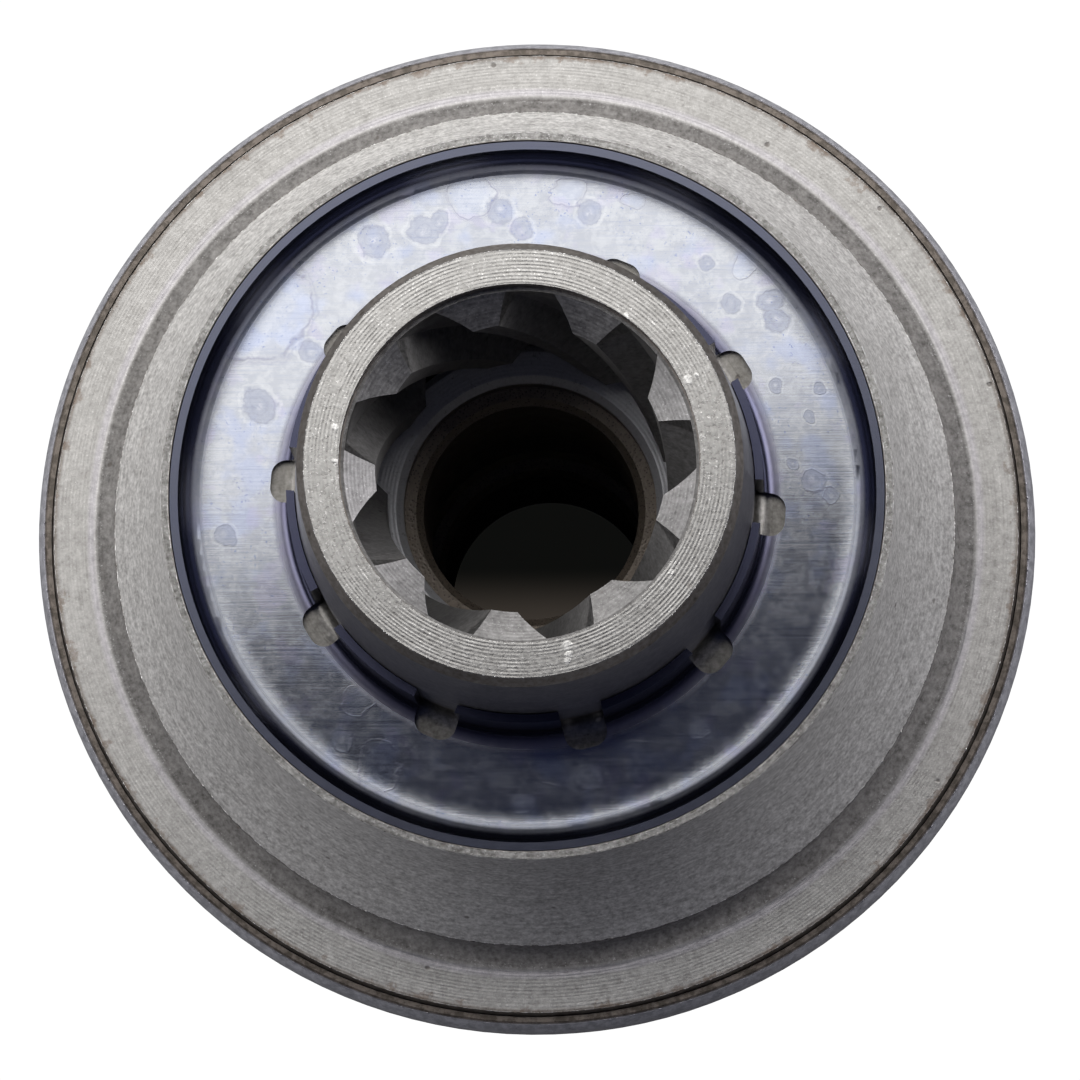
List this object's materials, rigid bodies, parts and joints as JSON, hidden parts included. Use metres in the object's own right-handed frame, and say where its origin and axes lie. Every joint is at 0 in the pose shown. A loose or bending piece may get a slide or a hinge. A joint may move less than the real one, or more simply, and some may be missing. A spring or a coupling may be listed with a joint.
{
  "type": "starter drive",
  "caption": "Starter drive: helically splined sleeve and flared hub, blued retaining cup, roller overrunning clutch in a crimped cover, and a toothed pinion.",
  "frame": {"origin": "centre of the pinion's nose face, on which the drive stands", "axes": "+Z along the shaft axis, from the pinion's nose towards the splined sleeve"},
  "size_m": [0.0578, 0.0578, 0.0645],
  "materials": {
    "turned_steel": "turned, oiled",
    "drawn_steel": "drawn sheet, satin",
    "blued_steel": "blued spring steel, polished",
    "plate_steel": "stamped",
    "seal_rubber": "matt",
    "hardened_steel": "hardened and ground",
    "sintered_bronze": "sintered, oily",
    "spring_wire": "drawn wire",
    "roller_steel": "ground",
    "plunger_steel": "pressed"
  },
  "bodies": {
    "clutch": {"clutch_driver": "turned_steel", "cover_shell": "drawn_steel", "retaining_cup": "blued_steel", "cover_plate": "plate_steel", "seal_ring": "seal_rubber", "half_washer_1": "plate_steel", "half_washer_2": "plate_steel", "spring_1": "spring_wire", "spring_2": "spring_wire", "spring_3": "spring_wire", "spring_4": "spring_wire", "spring_5": "spring_wire"},
    "pinion": {"pinion": "hardened_steel", "pinion_bush_front": "sintered_bronze", "pinion_bush_rear": "sintered_bronze"},
    "roller_set_1": {"roller_1": "roller_steel", "plunger_1": "plunger_steel"},
    "roller_set_2": {"roller_2": "roller_steel", "plunger_2": "plunger_steel"},
    "roller_set_3": {"roller_3": "roller_steel", "plunger_3": "plunger_steel"},
    "roller_set_4": {"roller_4": "roller_steel", "plunger_4": "plunger_steel"},
    "roller_set_5": {"roller_5": "roller_steel", "plunger_5": "plunger_steel"}
  },
  "joints": [
    {"name": "pinion_spin", "type": "hinge", "parent": "clutch", "child": "pinion", "pos_m": [0, 0, 0.025], "axis": [0, 0, 1], "continuous": true},
    {"name": "roller_1_release", "type": "slide", "parent": "clutch", "child": "roller_set_1", "axis": [-0.1908, 0.9816, 0], "range_m": [0, 0.001], "stiffness_N_per_m": 400, "springref_m": -0.003, "deforming": ["spring_1"]},
    {"name": "roller_2_release", "type": "slide", "parent": "clutch", "child": "roller_set_2", "axis": [-0.9925, 0.1219, 0], "range_m": [0, 0.001], "stiffness_N_per_m": 400, "springref_m": -0.003, "deforming": ["spring_2"]},
    {"name": "roller_3_release", "type": "slide", "parent": "clutch", "child": "roller_set_3", "axis": [-0.4226, -0.9063, 0], "range_m": [0, 0.001], "stiffness_N_per_m": 400, "springref_m": -0.003, "deforming": ["spring_3"]},
    {"name": "roller_4_release", "type": "slide", "parent": "clutch", "child": "roller_set_4", "axis": [0.7314, -0.682, 0], "range_m": [0, 0.001], "stiffness_N_per_m": 400, "springref_m": -0.003, "deforming": ["spring_4"]},
    {"name": "roller_5_release", "type": "slide", "parent": "clutch", "child": "roller_set_5", "axis": [0.8746, 0.4848, 0], "range_m": [0, 0.001], "stiffness_N_per_m": 400, "springref_m": -0.003, "deforming": ["spring_5"]}
  ],
  "couplings": [
    {"joint": "roller_2_release", "follows": "roller_1_release", "ratio": 1},
    {"joint": "roller_3_release", "follows": "roller_1_release", "ratio": 1},
    {"joint": "roller_4_release", "follows": "roller_1_release", "ratio": 1},
    {"joint": "roller_5_release", "follows": "roller_1_release", "ratio": 1}
  ]
}
